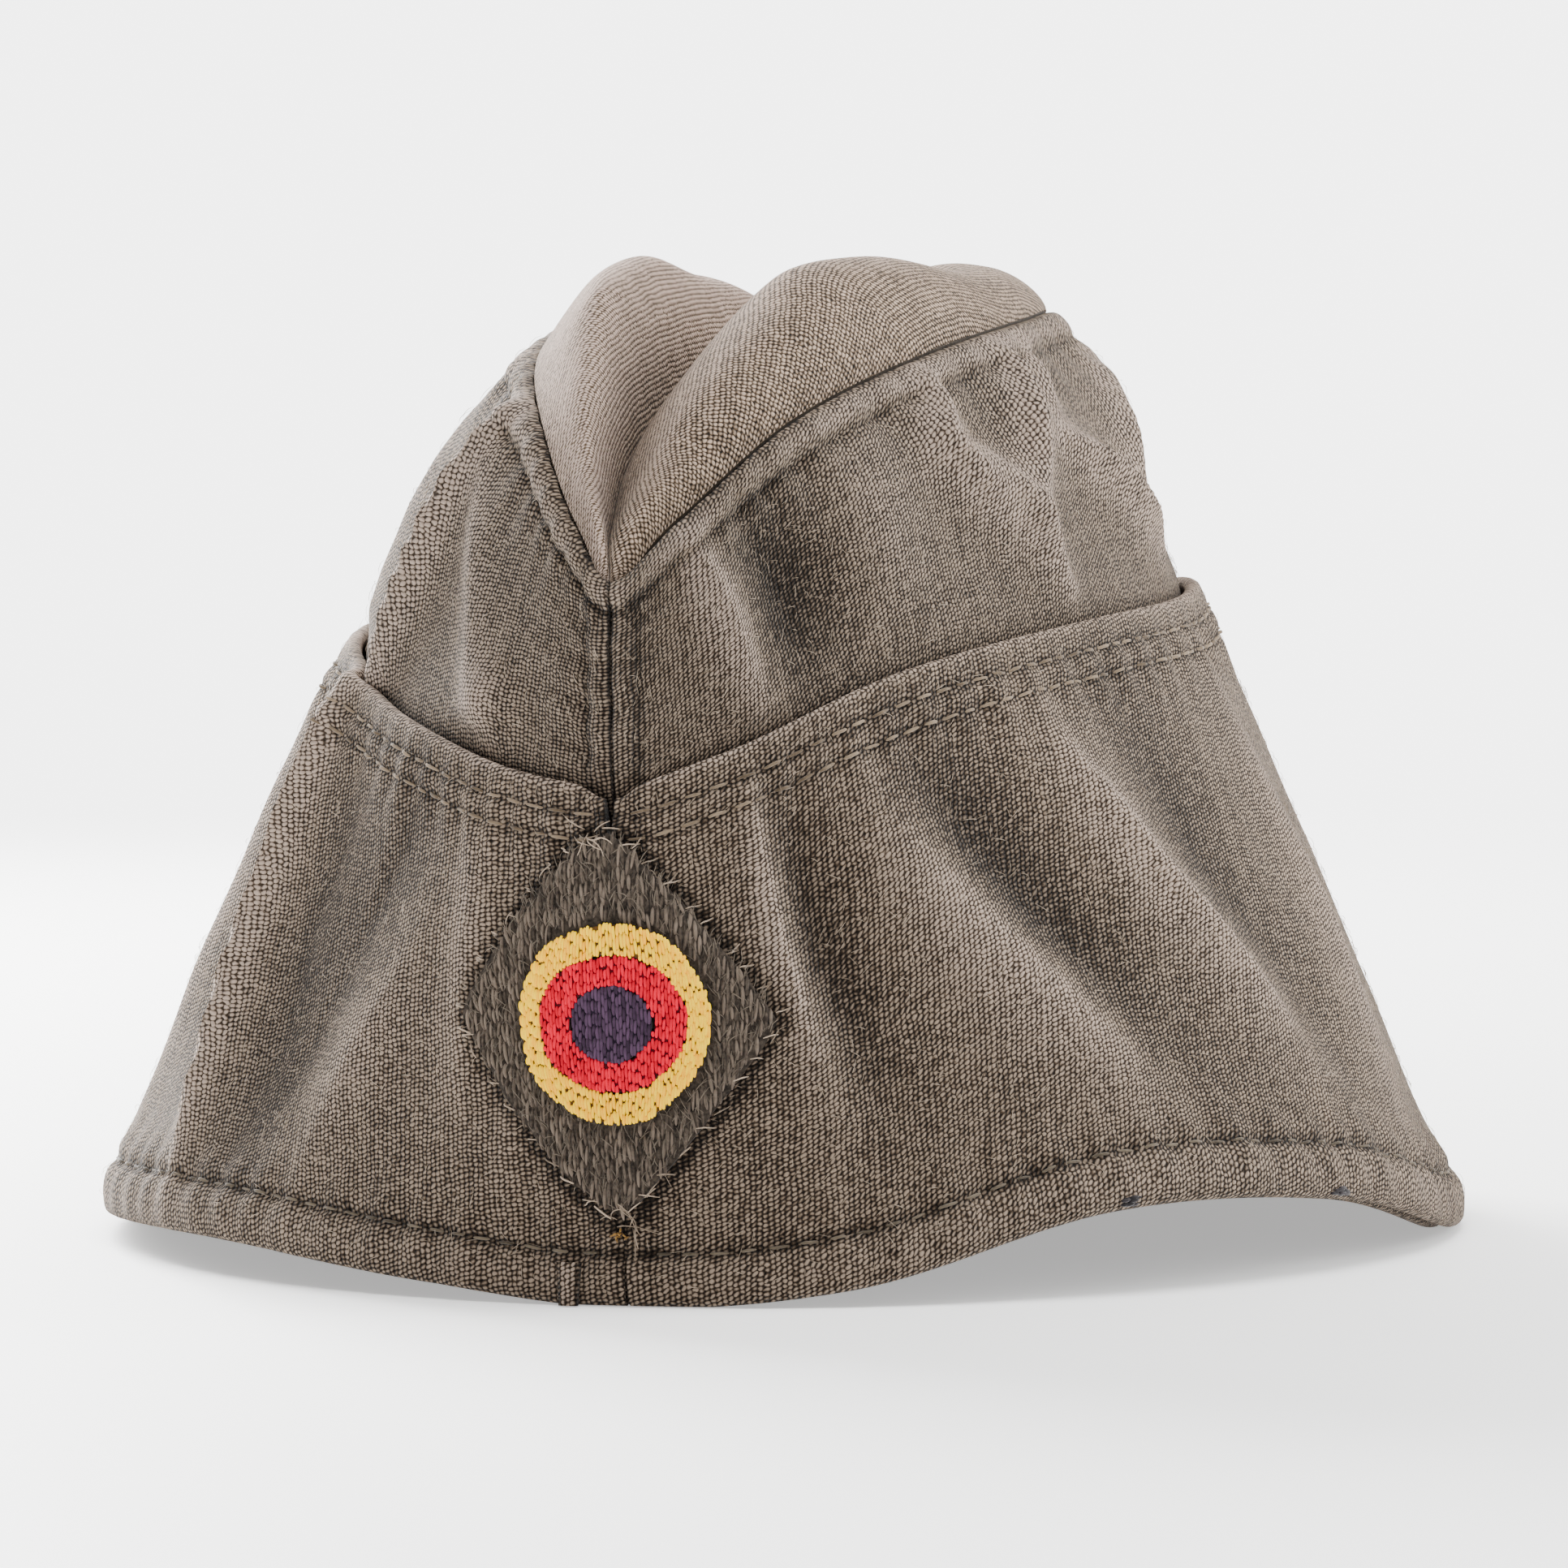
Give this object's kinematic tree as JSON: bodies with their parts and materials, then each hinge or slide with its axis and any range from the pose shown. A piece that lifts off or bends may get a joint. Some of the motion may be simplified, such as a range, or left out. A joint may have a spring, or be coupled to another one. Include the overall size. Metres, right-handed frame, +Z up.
{
  "type": "garrison cap",
  "caption": "Soft folding cloth cap with a lengthwise crease in the top, turned-up side curtains, a hollow for the head and a diamond patch with a round cockade in front.",
  "frame": {"origin": "on the ground under the middle of the cap's bounding box", "axes": "+Z up through the crown, -Y towards the front of the cap, +X towards the wearer's left"},
  "size_m": [0.17, 0.2016, 0.1212],
  "materials": {
    "panel_cloth": "coarse plain-woven wool, grey olive",
    "top_cloth": "coarse plain-woven wool, grey olive",
    "curtain_cloth": "coarse plain-woven wool, doubled, with a stitched hem",
    "patch_cloth": "dark grey-brown felted embroidery",
    "gold_thread": "golden yellow embroidery thread",
    "red_thread": "red embroidery thread",
    "black_thread": "black-violet embroidery thread"
  },
  "bodies": {
    "root": {"side_panel_left": "panel_cloth", "side_panel_right": "panel_cloth", "top_panel": "top_cloth", "curtain_left": "curtain_cloth", "curtain_right": "curtain_cloth", "badge_patch": "patch_cloth", "cockade_gold": "gold_thread", "cockade_red": "red_thread", "cockade_black": "black_thread"}
  },
  "joints": []
}
